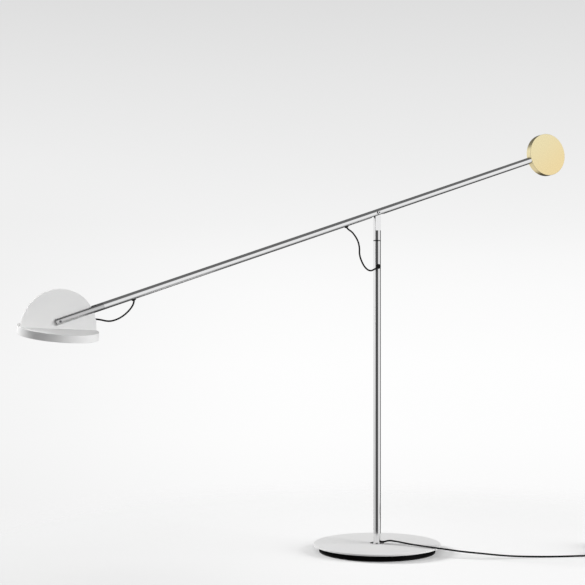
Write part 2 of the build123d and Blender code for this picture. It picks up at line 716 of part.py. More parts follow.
def adapter_case():
    """Black plastic shell, open at the pin end."""
    y = (-CASE_HALF_WIDTH, CASE_HALF_WIDTH)
    shell = block((CASE_NEAR, CASE_FAR - LID_T), y, (0, CASE_H))
    shell = fillet(shell.edges().filter_by(Axis.X), 3.0)
    shell = chamfer(shell.faces().sort_by(Axis.X)[0].edges(), 1.0)
    inner = CASE_HALF_WIDTH - CASE_WALL
    shell -= block((CASE_NEAR + CASE_WALL, CASE_FAR), (-inner, inner), (CASE_WALL, CASE_H - CASE_WALL))
    frame, height = adapter_frame()
    return frame * (shell - Pos(0, 0, height) * ALONG_X * cylinder(3.05, 0, 40))


def adapter_lid():
    """Plate that closes the pin end."""
    y = (-CASE_HALF_WIDTH, CASE_HALF_WIDTH)
    lid = block((CASE_FAR - LID_T, CASE_FAR), y, (0, CASE_H))
    lid = fillet(lid.edges().filter_by(Axis.X), 3.0)
    for side in (-PIN_HALF_PITCH, PIN_HALF_PITCH):
        lid -= Pos(0, side, CASE_H / 2) * ALONG_X * cylinder(PIN_R + 0.02, 60, 100)
    frame, _ = adapter_frame()
    return frame * lid


def adapter_board():
    """Circuit board with its transformer and two capacitors."""
    board = block((26, 72), (-13, 13), (6.0, 7.6))
    board += block((40, 56), (-8, 8), (7.6, 21.0))
    for side in (-7, 7):
        board += Pos(33, side, 0) * cylinder(4.0, 7.6, 18.0)
    frame, _ = adapter_frame()
    return frame * board


def adapter_pins():
    """Two round mains pins."""
    pins = []
    for side in (-PIN_HALF_PITCH, PIN_HALF_PITCH):
        pin = cylinder(PIN_R, CASE_FAR - LID_T - 3.0, CASE_FAR + PIN_LENGTH)
        pin = fillet(pin.edges().filter_by(GeomType.CIRCLE).sort_by(Axis.Z)[-1], 1.2)
        pins.append(Pos(0, side, CASE_H / 2) * ALONG_X * pin)
    frame, _ = adapter_frame()
    return Compound([frame * pin for pin in pins])


def adapter_relief():
    """Tapered strain relief, held in the case's end wall by its neck."""
    relief = cone(2.4, 3.8, 0, CASE_NEAR - 0.05)
    relief += cylinder(3.0, CASE_NEAR - 0.1, CASE_NEAR + CASE_WALL + 0.05)
    relief += cylinder(4.2, CASE_NEAR + CASE_WALL + 0.05, CASE_NEAR + CASE_WALL + 1.6)
    frame, height = adapter_frame()
    return frame * Pos(0, 0, height) * ALONG_X * relief


# ---- every node, placed in the lamp's frame -------------------------------------------------
elbow_lower, elbow_upper = halves(ELBOW_ROUTE, ELBOW_SPLIT)
head_upper, head_lower = halves(HEAD_ROUTE, HEAD_SPLIT)

NODES = {
    "base_pad": base_pad(),
    "base_ballast": base_ballast(),
    "base_plate": base_plate(),
    "ballast_screws": ballast_screws(),
    "stem_bolt": stem_bolt(),
    "bolt_washer": bolt_washer(),
    "foot_washer": foot_washer(),
    "stem_plug": stem_plug(),
    "stem_tube": stem_tube(),
    "foot_gland": foot_gland(),
    "stem_grommet": stem_grommet(),
    "stem_lead": stem_lead(),
    "swivel_bush": swivel_bush(),
    "swivel_head": swivel_head(),
    "swivel_washer": swivel_washer(),
    "swivel_spring": swivel_spring(),
    "swivel_nut": swivel_nut(),
    "arm_tube": ARM * arm_tube(),
    "pivot_saddles": ARM * pivot_saddles(),
    "pivot_bolt": ARM * pivot_bolt(),
    "pivot_nut": ARM * pivot_nut(),
    "pivot_shims": ARM * pivot_shims(),
    "elbow_collar": ARM * collar(ELBOW_COLLAR_X, ELBOW_SLANT, LEAD_R),
    "head_collar": ARM * collar(HEAD_COLLAR_X, HEAD_SLANT, HEAD_LEAD_R),
    "arm_lead": ARM * arm_lead(),
    "arm_end_plug": ARM * arm_end_plug(),
    "fork_pin": ARM * fork_pin(),
    "counterweight": WEIGHT * counterweight(),
    "counterweight_stud": ARM * counterweight_stud(),
    "head_fork": FORK * head_fork(),
    "fork_o_ring": FORK * fork_o_ring(),
    "head_pivot_screw": FORK * head_pivot_screw(),
    "fin_washers": FORK * fin_washers(),
    "fin": HEAD * fin(),
    "lamp_housing": HEAD * lamp_housing(),
    "fin_screws": HEAD * fin_screws(),
    "led_board": HEAD * led_board(),
    "leds": HEAD * leds(),
    "reflector_ring": HEAD * reflector_ring(),
    "diffuser": HEAD * diffuser(),
    "bezel_ring": HEAD * bezel_ring(),
    "fin_lead": HEAD * fin_lead(),
    "dimmer_switch": HEAD * dimmer_switch(),
    "dimmer_button": HEAD * dimmer_button(),
    "elbow_lead_lower": free_lead("elbow_lead_lower", LEAD_R, elbow_lower),
    "elbow_lead_upper": free_lead("elbow_lead_upper", LEAD_R, elbow_upper),
    "head_lead_upper": free_lead("head_lead_upper", HEAD_LEAD_R, head_upper),
    "head_lead_lower": free_lead("head_lead_lower", HEAD_LEAD_R, head_lower),
    "supply_cord": free_lead("supply_cord", SUPPLY_R, SUPPLY_ROUTE),
    "cord_coil": cord_coil(),
    "cord_tie": cord_tie(),
    "adapter_case": adapter_case(),
    "adapter_lid": adapter_lid(),
    "adapter_board": adapter_board(),
    "adapter_pins": adapter_pins(),
    "adapter_relief": adapter_relief(),
}

os.makedirs("parts", exist_ok=True)
for name, shape in NODES.items():
    export_step(shape, f"parts/{name}.step")
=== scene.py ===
import math

import bmesh
import bpy
from mathutils import Matrix, Vector


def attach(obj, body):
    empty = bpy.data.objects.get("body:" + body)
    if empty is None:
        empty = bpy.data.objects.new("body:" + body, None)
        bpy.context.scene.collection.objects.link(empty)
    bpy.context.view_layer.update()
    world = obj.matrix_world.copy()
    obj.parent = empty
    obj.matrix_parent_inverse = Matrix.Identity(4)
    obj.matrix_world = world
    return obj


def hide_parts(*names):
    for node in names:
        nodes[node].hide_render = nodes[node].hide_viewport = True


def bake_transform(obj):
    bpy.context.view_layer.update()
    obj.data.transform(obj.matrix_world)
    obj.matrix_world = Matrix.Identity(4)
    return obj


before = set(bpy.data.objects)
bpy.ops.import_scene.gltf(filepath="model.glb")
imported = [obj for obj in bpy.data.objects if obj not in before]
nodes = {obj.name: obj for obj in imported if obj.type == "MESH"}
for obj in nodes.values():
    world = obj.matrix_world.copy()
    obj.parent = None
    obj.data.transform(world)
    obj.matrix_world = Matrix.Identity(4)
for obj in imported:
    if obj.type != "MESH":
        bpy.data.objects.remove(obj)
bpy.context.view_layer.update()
scene = bpy.context.scene

# ---- studio -----------------------------------------------------------------------------------
# A level camera with a long lens, to the near left of the lamp. The table is a pale sweep that
# melts into the backdrop. What the metal reflects is a bright wall at each side of a dark gap
# behind the camera, under a dim ceiling.
VIEW_TURN = math.radians(27.4)      # camera looks along +Y, turned this far towards +X
RIGHT = (math.cos(VIEW_TURN), -math.sin(VIEW_TURN), 0.0)
TOWARDS_CAMERA = (-math.sin(VIEW_TURN), -math.cos(VIEW_TURN), 0.0)
camera = bpy.data.objects.new("camera", bpy.data.cameras.new("camera"))
scene.collection.objects.link(camera)
camera.location = (-1.3886, -2.3306, 0.4898)
camera.rotation_euler = (math.radians(90), 0, -VIEW_TURN)
camera.data.sensor_width = 36.0
camera.data.lens = 87.96
camera.data.clip_end = 50.0
scene.camera = camera
scene.view_settings.view_transform = "Standard"


class Link:
    """A node socket that works in Python expressions: each operator adds a Math node."""

    def __init__(self, tree, socket=None):
        self.tree = tree
        self.socket = socket

    def node(self, kind, settings=None, inputs=None, output=0):
        """Adds a node: its settings first, then the values or links of its sockets."""
        made = self.tree.nodes.new(kind)
        for key, value in (settings or {}).items():
            if key == "stops":
                ramp = made.color_ramp.elements
                while len(ramp) < len(value):
                    ramp.new(0.5)
                for stop, (position, grey) in zip(ramp, value):
                    stop.position = position
                    stop.color = (grey, grey, grey, 1)
            else:
                setattr(made, key, value)
        for key, value in (inputs or {}).items():
            if isinstance(value, Link):
                self.tree.links.new(value.socket, made.inputs[key])
            else:
                made.inputs[key].default_value = value
        return Link(self.tree, made.outputs[output]) if len(made.outputs) else None

    def other(self, output):
        """Another output of the same node."""
        return Link(self.tree, self.socket.node.outputs[output])

    def math(self, operation, first, second=0.0):
        return self.node("ShaderNodeMath", {"operation": operation}, {0: first, 1: second})

    def __add__(self, other):
        return self.math("ADD", self, other)

    def __sub__(self, other):
        return self.math("SUBTRACT", self, other)

    def __rsub__(self, other):
        return self.math("SUBTRACT", other, self)

    def __mul__(self, other):
        return self.math("MULTIPLY", self, other)

    __radd__ = __add__
    __rmul__ = __mul__

    def step(self, low, high):
        """Rises smoothly from 0 at low to 1 at high."""
        limits = {"Value": self, "From Min": low, "From Max": high}
        return self.node("ShaderNodeMapRange", {"interpolation_type": "SMOOTHSTEP"}, limits)

    def part(self, index):
        """X, Y or Z of a vector."""
        return self.node("ShaderNodeSeparateXYZ", None, {0: self}, index)

    def vector(self, operation, second, third=(0, 0, 0), output="Vector"):
        terms = {0: self, 1: second, 2: third}
        return self.node("ShaderNodeVectorMath", {"operation": operation}, terms, output)

    def dot(self, direction):
        """How far a vector goes along a direction."""
        return self.vector("DOT_PRODUCT", direction, output="Value")

    def length(self):
        return self.vector("LENGTH", (0, 0, 0), output="Value")


world = bpy.data.worlds.new("studio")
world.use_nodes = True
world.node_tree.nodes.clear()
scene.world = world
walls = Link(world.node_tree)
ray = walls.node("ShaderNodeTexCoord", None, None, "Generated")
camera_ray = walls.node("ShaderNodeLightPath", None, None, "Is Camera Ray")
metal_ray = camera_ray.other("Is Glossy Ray")
across = ray.dot(RIGHT)
height = ray.part(2)
bearing = walls.math("ARCTAN2", across, ray.dot(TOWARDS_CAMERA)) * math.degrees(1)
LEFT_WALL_SPAN = ((-178, -150), (-62, -42))     # where each wall fades in and out, in degrees
RIGHT_WALL_SPAN = ((15, 48), (94, 104))
LEFT_WALL_TOP = (0.3, 0.55)
RIGHT_WALL_TOP = (0.58, 0.8)
ROOM_GREY = 0.08
CEILING_GREY = 0.07
WALL_GREY = 0.86
left_wall = bearing.step(*LEFT_WALL_SPAN[0]) * (1 - bearing.step(*LEFT_WALL_SPAN[1]))
left_wall = left_wall * (1 - height.step(*LEFT_WALL_TOP))
left_wall = left_wall * (0.85 + 0.4 * height.step(-0.2, 0.02) - 0.25 * height.step(-0.6, -0.25))
right_wall = bearing.step(*RIGHT_WALL_SPAN[0]) * (1 - bearing.step(*RIGHT_WALL_SPAN[1]))
right_wall = right_wall * (1 - height.step(*RIGHT_WALL_TOP))
right_wall = right_wall * height.step(-0.95, -0.3)
dim_ceiling = height.step(0.1, 0.45) * CEILING_GREY
reflected = ROOM_GREY + dim_ceiling + WALL_GREY * walls.math("MAXIMUM", left_wall, right_wall)
BACKDROP = [(0.0, 0.915), (0.125, 0.955), (0.25, 0.985), (0.375, 0.99), (0.5, 0.965),
            (0.56, 0.94), (0.62, 0.9), (0.75, 0.845), (0.875, 0.795), (1.0, 0.735)]
backdrop = walls.node("ShaderNodeValToRGB", {"stops": BACKDROP}, {"Fac": height * 2.5 + 0.5})
corner_shade = (1 - across.step(-0.28, 0.02)) * (1 - height.step(0.0, 0.1)) * 0.09
shown = backdrop * (1 - corner_shade)
AMBIENT = 0.30
unseen = metal_ray * reflected + (1 - metal_ray) * AMBIENT
light = camera_ray * shown + (1 - camera_ray) * unseen
wash = walls.node("ShaderNodeBackground", None, {"Color": light})
walls.node("ShaderNodeOutputWorld", None, {"Surface": wash})

FLOOR_HALF = 6.0
FLOOR_FADE = (0.35, 1.05)           # from the lamp, where the sweep melts into the backdrop
corners = [(x * FLOOR_HALF, y * FLOOR_HALF, 0) for x, y in ((-1, -1), (1, -1), (1, 1), (-1, 1))]
floor_mesh = bpy.data.meshes.new("floor")
floor_mesh.from_pydata(corners, [], [(0, 1, 2, 3)])
floor = bpy.data.objects.new("floor", floor_mesh)
scene.collection.objects.link(floor)
sweep = bpy.data.materials.new("pale_sweep")
sweep.use_nodes = True
sweep.node_tree.nodes.clear()
ground = Link(sweep.node_tree)
place = ground.node("ShaderNodeTexCoord", None, None, "Object")
seen = ground.node("ShaderNodeLightPath", None, None, "Is Camera Ray")
left_shade = 1 - (1 - place.dot(RIGHT).step(-0.75, 0.1)) * 0.19
paper = ground.node("ShaderNodeBsdfDiffuse", None, {"Color": left_shade * 0.775})
glow = ground.node("ShaderNodeEmission", None, {"Color": left_shade * 0.105})
lit = ground.node("ShaderNodeAddShader", None, {0: paper, 1: glow})
clear = ground.node("ShaderNodeBsdfTransparent")
faded = place.length().step(*FLOOR_FADE)
shown_floor = ground.node("ShaderNodeMixShader", None, {0: faded, 1: lit, 2: clear})
bounce = ground.node("ShaderNodeBsdfDiffuse", None, {"Color": (0.4, 0.4, 0.4, 1)})
unseen_floor = ground.node("ShaderNodeMixShader", None, {0: seen.other("Is Glossy Ray"), 1: bounce, 2: clear})
table = ground.node("ShaderNodeMixShader", None, {0: seen, 1: unseen_floor, 2: shown_floor})
ground.node("ShaderNodeOutputMaterial", None, {"Surface": table})
floor_mesh.materials.append(sweep)


def softbox(name, bearing_deg, elevation_deg, distance, size, power):
    """Square lamp aimed at the object, placed by its bearing from the camera's side."""
    data = bpy.data.lights.new(name, "AREA")
    data.size = size
    data.energy = power
    made = bpy.data.objects.new(name, data)
    scene.collection.objects.link(made)
    turn = math.radians(bearing_deg)
    rise = math.radians(elevation_deg)
    level = Vector(TOWARDS_CAMERA) * math.cos(turn) + Vector(RIGHT) * math.sin(turn)
    away = level * math.cos(rise) + Vector((0, 0, math.sin(rise)))
    made.location = Vector((-0.15, 0, 0.35)) + away * distance
    made.rotation_euler = away.to_track_quat("Z", "Y").to_euler()
    made.visible_glossy = False
    made.visible_camera = False


softbox("right_softbox", 74, 13, 3.2, 2.4, 110)
softbox("left_softbox", -109, 22, 3.4, 0.9, 126)
softbox("head_softbox", -80, 60, 2.0, 1.2, 6)

# ---- base pad ---------------------------------------------------------------------------------
# Moulded black rubber disc glued under the ballast, over the screws. Rings in its underside
# grip the table, and its edge shows as a slightly greyer line at the foot of the dark band.
MM = 0.001
PAD_R = 110.0
PAD_T = 2.0
PAD_RING_PITCH = 6.0
PAD_GROOVE_DEPTH = 0.6


def noise(where, scale, detail=2.0):
    return where.node("ShaderNodeTexNoise", None, {"Vector": where, "Scale": scale, "Detail": detail})


def mixed(share, first, second):
    """Colour that goes from the first to the second as share goes from 0 to 1."""
    first = first if isinstance(first, Link) else (*first, 1)
    return share.node("ShaderNodeMix", {"data_type": "RGBA"}, {0: share, 6: first, 7: (*second, 1)}, 2)


def bump(relief, distance, strength):
    values = {"Height": relief, "Distance": distance, "Strength": strength}
    return relief.node("ShaderNodeBump", None, values)


def finish(name, recipe):
    """New material: the recipe gives its Principled inputs from Object coordinates."""
    material = bpy.data.materials.new(name)
    material.use_nodes = True
    material.node_tree.nodes.clear()
    link = Link(material.node_tree)
    where = link.node("ShaderNodeTexCoord", None, None, "Object")
    surface = link.node("ShaderNodeBsdfPrincipled", None, recipe(where))
    link.node("ShaderNodeOutputMaterial", None, {"Surface": surface})
    return material


def smoothed(mesh, material, crease=35):
    """Smooth shading that keeps edges sharper than the crease angle."""
    mesh.shade_smooth()
    mesh.set_sharp_from_angle(angle=math.radians(crease))
    mesh.materials.clear()
    mesh.materials.append(material)


def revolved(name, profile, material, turns=160):
    """Closed solid of revolution about Z, from a profile in millimetres, axis to axis."""
    shell = bmesh.new()
    rings = []
    for radius, level in profile:
        ring = []
        for index in range(turns if radius else 1):
            turn = math.tau * index / turns
            spot = Vector((math.cos(turn) * radius, math.sin(turn) * radius, level)) * MM
            ring.append(shell.verts.new(spot))
        rings.append(ring)
    for low, high in zip(rings, rings[1:]):
        for index in range(turns):
            after = (index + 1) % turns
            if len(low) == 1:
                shell.faces.new((low[0], high[after], high[index]))
            elif len(high) == 1:
                shell.faces.new((low[index], low[after], high[0]))
            else:
                shell.faces.new((low[index], low[after], high[after], high[index]))
    bmesh.ops.recalc_face_normals(shell, faces=shell.faces)
    mesh = bpy.data.meshes.new(name)
    shell.to_mesh(mesh)
    shell.free()
    smoothed(mesh, material)
    made = bpy.data.objects.new(name, mesh)
    scene.collection.objects.link(made)
    return made


def rubber(where):
    grain = noise(where, 1400, 3)
    bloom = noise(where, 25, 4)
    return {
        "Base Color": mixed(bloom.step(0.35, 0.7), (0.010, 0.010, 0.010), (0.017, 0.017, 0.016)),
        "Roughness": 0.68 + grain * 0.2,
        "Specular IOR Level": 0.25,
        "Normal": bump(grain, 0.0001, 0.3),
    }


pad_rubber = finish("pad_rubber", rubber)
pad_profile = [(0, 0)]
for count in range(3, 18):
    radius = count * PAD_RING_PITCH
    pad_profile += [(radius, 0), (radius + 0.3, PAD_GROOVE_DEPTH)]
    pad_profile += [(radius + 2.7, PAD_GROOVE_DEPTH), (radius + 3.0, 0)]
pad_profile += [(PAD_R - 0.4, 0), (PAD_R - 0.1, 0.1), (PAD_R, 0.4), (PAD_R, PAD_T), (0, PAD_T)]
pad = revolved("ribbed_pad", pad_profile, pad_rubber)
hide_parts("base_pad")
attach(pad, "base")

# ---- ballast ----------------------------------------------------------------------------------
# Heavy turned steel disc, painted black, set back under the plate so that the plate seems to
# float. Its paint is a thin satin coat with a little orange peel.


def dress(material, *names):
    """Gives CAD nodes their finish."""
    for name in names:
        for slot in nodes[name].material_slots:
            slot.material = material


def black_paint(where):
    peel = noise(where, 700)
    return {
        "Base Color": mixed(noise(where, 18, 3).step(0.3, 0.7), (0.004, 0.004, 0.004), (0.008, 0.008, 0.008)),
        "Roughness": 0.72 + peel * 0.12,
        "Specular IOR Level": 0.02,
        "Normal": bump(peel, 0.0002, 0.15),
    }


dress(finish("black_enamel", black_paint), "base_ballast")

# ---- base plate -------------------------------------------------------------------------------
# Thin steel disc that overhangs the ballast all round, powder-coated matt white. Its rounded
# edge catches the light as a fine pale line. Its white is set darker than the fin's, a painted
# shade on its top.


def powder_coat(tone):
    """Matt baked powder, with a tight peel and a tone that drifts a little."""

    def recipe(where):
        peel = noise(where, 850)
        drift = noise(where, 12, 3).step(0.3, 0.7)
        duller = tone * 0.985
        return {
            "Base Color": mixed(drift, (duller, duller, duller), (tone, tone, tone * 0.995)),
            "Roughness": 0.48 + peel * 0.1,
            "Specular IOR Level": 0.3,
            "Normal": bump(peel, 0.0001, 0.05),
        }

    return recipe


# Painted shade: the plate's white is set darker than the fin's.
dress(finish("base_enamel_painted_shade", powder_coat(0.737)), "base_plate")

# ---- screws under the base --------------------------------------------------------------------
# Zinc-plated steel: four countersunk screws pull the plate to the ballast, and one long screw
# with a broad washer holds the stem. The plating has a faint warm and blue bloom.


def zinc(where):
    bloom = noise(where, 160, 3)
    return {
        "Base Color": mixed(bloom.step(0.35, 0.65), (0.56, 0.55, 0.50), (0.60, 0.62, 0.66)),
        "Metallic": 1.0,
        "Roughness": 0.28 + bloom * 0.14,
        "Normal": bump(noise(where, 2600), 0.00005, 0.2),
    }


zinc_steel = finish("zinc_steel", zinc)
dress(zinc_steel, "ballast_screws", "stem_bolt", "bolt_washer")

# ---- stem -------------------------------------------------------------------------------------
# Polished steel tube on a thin polished washer. Drawing and polishing leave fine lines along
# the tube, which stretch its reflections into the straight dark and light bands it shows.


def stretched(where, axis):
    """Coordinates squeezed along an axis, so that noise on them runs in lines along it."""
    squeeze = {0: tuple(-0.99 * share for share in axis), 1: where.dot(axis), 2: where}
    return where.node("ShaderNodeVectorMath", {"operation": "MULTIPLY_ADD"}, squeeze)


def drawn_metal(axis, dark, light, smooth):
    """Polished tube with fine lines along an axis."""

    def recipe(where):
        grain = noise(stretched(where, axis), 2400, 3)
        return {
            "Base Color": mixed(grain.step(0.3, 0.7), dark, light),
            "Metallic": 1.0,
            "Roughness": smooth + grain * 0.09,
            "Normal": bump(grain, 0.00002, 0.15),
        }

    return recipe


STEEL_DARK = (0.82, 0.82, 0.825)
STEEL_LIGHT = (0.90, 0.90, 0.905)
polished_steel = finish("polished_steel", drawn_metal((0, 0, 1), STEEL_DARK, STEEL_LIGHT, 0.06))
dress(polished_steel, "stem_tube")
washer_metal = drawn_metal((0, 0, 1), (0.74, 0.74, 0.745), (0.82, 0.82, 0.825), 0.2)
dress(finish("washer_steel", washer_metal), "foot_washer")

# ---- stem fittings ----------------------------------------------------------------------------
# A turned plug is pressed in the tube's foot for the long screw. Black nylon and rubber bushes
# line the holes where the cords come out, and the lead between them runs inside the stem.


def turned(where):
    rings = noise(where, 900, 4)
    return {
        "Base Color": mixed(rings, (0.50, 0.50, 0.51), (0.66, 0.66, 0.67)),
        "Metallic": 1.0,
        "Roughness": 0.2 + rings * 0.16,
        "Normal": bump(rings, 0.00004, 0.25),
    }


def nylon(dark, light):
    """Moulded nylon, satin, with a fine spark-eroded grain."""

    def recipe(where):
        grain = noise(where, 1800, 3)
        return {
            "Base Color": mixed(noise(where, 60).step(0.3, 0.7), dark, light),
            "Roughness": 0.42 + grain * 0.16,
            "Specular IOR Level": 0.3,
            "Normal": bump(grain, 0.00008, 0.25),
        }

    return recipe


def sheath(where):
    """Smooth black cord jacket, faintly satin."""
    grain = noise(where, 1100, 3)
    return {
        "Base Color": mixed(noise(where, 40, 3).step(0.3, 0.7), (0.004, 0.004, 0.004), (0.008, 0.008, 0.008)),
        "Roughness": 0.5 + grain * 0.18,
        "Specular IOR Level": 0.12,
        "Normal": bump(grain, 0.00005, 0.2),
    }


turned_steel = finish("turned_steel", turned)
black_nylon = finish("black_nylon", nylon((0.008, 0.008, 0.008), (0.013, 0.013, 0.013)))
black_rubber = finish("black_rubber", rubber)
cord_sheath = finish("cord_sheath", sheath)
dress(turned_steel, "stem_plug")
dress(black_nylon, "foot_gland", "swivel_bush")
dress(black_rubber, "stem_grommet")
dress(cord_sheath, "stem_lead")

# ---- swivel -----------------------------------------------------------------------------------
# Turned and milled steel head in the stem's colour: round below, with two flats above that go
# up into the arm. A slip washer, a disc spring and a slotted nut keep its drag even.
white_nylon = finish("white_nylon", nylon((0.72, 0.72, 0.70), (0.78, 0.78, 0.76)))
dress(polished_steel, "swivel_head")
dress(turned_steel, "swivel_nut")
dress(zinc_steel, "swivel_spring")
dress(white_nylon, "swivel_washer")

# ---- arm --------------------------------------------------------------------------------------
# Long thin-walled aluminium tube, polished along its length, with black lead collars under it.
# A plug in its right end takes the counterweight's stud, and the lead runs inside.
ARM_TILT = math.radians(17.7)
ARM_AXIS = (math.cos(ARM_TILT), 0.0, math.sin(ARM_TILT))
ALLOY_DARK = (0.80, 0.80, 0.805)
ALLOY_LIGHT = (0.88, 0.88, 0.885)
polished_aluminium = finish("polished_aluminium", drawn_metal(ARM_AXIS, ALLOY_DARK, ALLOY_LIGHT, 0.08))
dress(polished_aluminium, "arm_tube")
dress(black_rubber, "elbow_collar", "head_collar")
dress(cord_sheath, "arm_lead")
dress(turned_steel, "arm_end_plug")

# ---- pivot ------------------------------------------------------------------------------------
# A button-head screw clamps the arm to the head's blade through two saddle washers. Its deep
# hex socket is painted near black, a painted shade, and turning marks ring its polished head.
ARM = Matrix.Translation((0, 0, 0.6412)) @ Matrix.Rotation(-ARM_TILT, 4, "Y")
# Near black painted into the screws' sockets: painted shade, not a blackened finish.
PAINTED_SOCKET_SHADE = (0.012, 0.012, 0.013)


def screw_steel(centre, axis, socket_radius, socket_floor, dark, light):
    """Screw head: turning marks round its axis, and painted shade: the socket in the middle is painted near
    black.
    """

    def recipe(where):
        local = where.vector("ADD", tuple(-value for value in centre))
        along = local.dot(axis)
        flatten = {0: tuple(-value for value in axis), 1: along, 2: local}
        radius = where.node("ShaderNodeVectorMath", {"operation": "MULTIPLY_ADD"}, flatten).length()
        marks = where.math("SINE", radius * 60000) * 0.5 + 0.5
        # Painted shade: inside the socket the colour turns near black and the metal goes matt.
        socket_shade_mask = (1 - radius.step(socket_radius, socket_radius * 1.05)) * (1 - along.step(*socket_floor))
        steel = mixed(marks * 0.5 + noise(where, 500) * 0.5, dark, light)
        return {
            "Base Color": mixed(socket_shade_mask, steel, PAINTED_SOCKET_SHADE),
            "Metallic": 1 - socket_shade_mask,
            "Roughness": 0.14 + marks * 0.05 + socket_shade_mask * 0.5,
            "Normal": bump(marks, 0.00001, 0.3),
        }

    return recipe


pivot_steel = screw_steel(ARM.translation, (0.0, -1.0, 0.0), 0.00165, (0.00895, 0.00905), (0.84, 0.84, 0.85),
                          (0.92, 0.92, 0.93))
dress(finish("pivot_screw_steel", pivot_steel), "pivot_bolt")
dress(turned_steel, "pivot_saddles", "pivot_nut")
dress(white_nylon, "pivot_shims")

# ---- counterweight ----------------------------------------------------------------------------
# Solid brass disc on edge, screwed to the arm by a hidden stud. Its faces are brushed to a satin
# and its small chamfer stays bright. The metal is clear-lacquered. Its colour turns warmer and
# a little darker from one side of the disc to the other, a painted reflection.
BRUSHED_ALONG = (0.74, 0.0, -0.67)
REFLECTION_TINT_TOWARDS = (0.62, 0.0, -0.78)
REFLECTION_TINT_SPAN = (-0.395, -0.311)        # along that direction, from one side of the disc to the other


def brushed_brass(where):
    grain = noise(stretched(where, BRUSHED_ALONG), 1300, 4)
    # Painted reflection across the disc, with a small share of real brushing grain.
    painted_reflection_tint = where.dot(REFLECTION_TINT_TOWARDS).step(*REFLECTION_TINT_SPAN) * 0.8 + grain * 0.2
    return {
        "Base Color": mixed(painted_reflection_tint, (0.875, 0.778, 0.482), (0.915, 0.733, 0.395)),
        "Metallic": 1.0,
        "Roughness": 0.22 + grain * 0.08,
        "Normal": bump(grain, 0.00002, 0.12),
    }


dress(finish("brushed_brass", brushed_brass), "counterweight")
dress(zinc_steel, "counterweight_stud")

# ---- fork -------------------------------------------------------------------------------------
# The arm's end piece, turned from bar in the arm's colour and slotted over the lamp's fin. A
# flush screw through both ears is the head's hinge, with nylon washers on each side of the fin.
# Here the fork's metal is painted darker than the arm's, and the screw's steel far darker than
# the pivot screw's: painted shade.
HEAD_REACH = 0.6566
HEAD_ROLL = math.radians(8.6)
HEAD_TILT = math.radians(20.6)
FORK = ARM @ Matrix.Translation((-HEAD_REACH, 0, 0)) @ Matrix.Rotation(HEAD_ROLL, 4, "X")
HEAD = FORK @ Matrix.Rotation(HEAD_TILT, 4, "Y")
# Painted shade: the fork's alloy is set well darker than the arm's.
fork_alloy_painted_shade = finish("fork_alloy_painted_shade", drawn_metal(ARM_AXIS, (0.52, 0.52, 0.525), (0.64, 0.64, 0.645), 0.1))
ear_axis = tuple(FORK.to_3x3() @ Vector((0, -1, 0)))
# Painted shade: the hinge screw's steel is set far darker than the pivot screw's.
hinge_steel_painted_shade = screw_steel(FORK.translation, ear_axis, 0.00125, (0.0060, 0.0061), (0.26, 0.26, 0.265),
                          (0.34, 0.34, 0.345))
dress(fork_alloy_painted_shade, "head_fork")
dress(turned_steel, "fork_pin")
dress(finish("head_screw_steel", hinge_steel_painted_shade), "head_pivot_screw")
dress(white_nylon, "fin_washers")
dress(black_rubber, "fork_o_ring")

# ---- lamp head --------------------------------------------------------------------------------
# A half-round steel fin stands on a shallow spun dish, both powder-coated matt white, and three
# countersunk screws join them from inside. A thin ring snaps in below and holds the diffuser.
# The dish's white is set a little darker than the fin's, a painted shade.
dress(finish("white_enamel", powder_coat(0.83)), "fin")
# Painted shade: the dish and ring are set a little darker than the fin.
dress(finish("white_alloy", powder_coat(0.79)), "lamp_housing", "bezel_ring")
dress(zinc_steel, "fin_screws")
dress(cord_sheath, "fin_lead")

# ---- light engine -----------------------------------------------------------------------------
# Aluminium board with white solder mask and two rings of small emitters, a white moulded ring
# that throws their light inwards, and an opal acrylic sheet with a fine prismatic grain.


def white_board(where):
    return {
        "Base Color": mixed(noise(where, 90, 3).step(0.4, 0.6), (0.76, 0.77, 0.76), (0.81, 0.81, 0.80)),
        "Roughness": 0.3 + noise(where, 400) * 0.1,
    }


def phosphor(where):
    speckle = noise(where, 3500, 3)
    return {
        "Base Color": mixed(speckle.step(0.35, 0.65), (0.78, 0.62, 0.14), (0.84, 0.72, 0.28)),
        "Roughness": 0.32 + speckle * 0.2,
        "Normal": bump(speckle, 0.0001, 0.3),
    }


def opal_sheet(where):
    cells = where.node("ShaderNodeTexVoronoi", None, {"Vector": where, "Scale": 900.0}, "Distance")
    return {
        "Base Color": mixed(noise(where, 15, 3).step(0.3, 0.7), (0.80, 0.80, 0.79), (0.84, 0.84, 0.835)),
        "Roughness": 0.36 + cells * 0.2,
        "Normal": bump(cells, 0.0002, 0.25),
    }


white_moulding = finish("white_moulding", nylon((0.84, 0.84, 0.83), (0.88, 0.88, 0.87)))
dress(finish("board_alloy", white_board), "led_board")
dress(finish("emitter", phosphor), "leds")
dress(white_moulding, "reflector_ring")
dress(finish("opal", opal_sheet), "diffuser")

# ---- dimmer -----------------------------------------------------------------------------------
# A small pale knob behind the fin, pressed to switch and dim. Its cap is fluted for the finger,
# over a shaft that reaches the switch under the board.
DISC_TOP = -13.3
CAP_UNDERSIDE = DISC_TOP + 0.7
KNOB_PLACE = HEAD @ Matrix.Rotation(math.radians(180 - 19), 4, "Z") @ Matrix.Translation(
    (66.4 * MM, 0, CAP_UNDERSIDE * MM))
KNOB_SIZES = {"Radius": 2.1 * MM, "Height": 1.9 * MM, "Shoulder": 0.6 * MM,
              "Flutes": 18, "Flute depth": 0.2 * MM,
              "Shaft radius": 1.2 * MM, "Shaft below": 2.7 * MM, "Shaft inside": 0.3 * MM,
              "Flange radius": 1.5 * MM, "Flange height": 0.35 * MM}


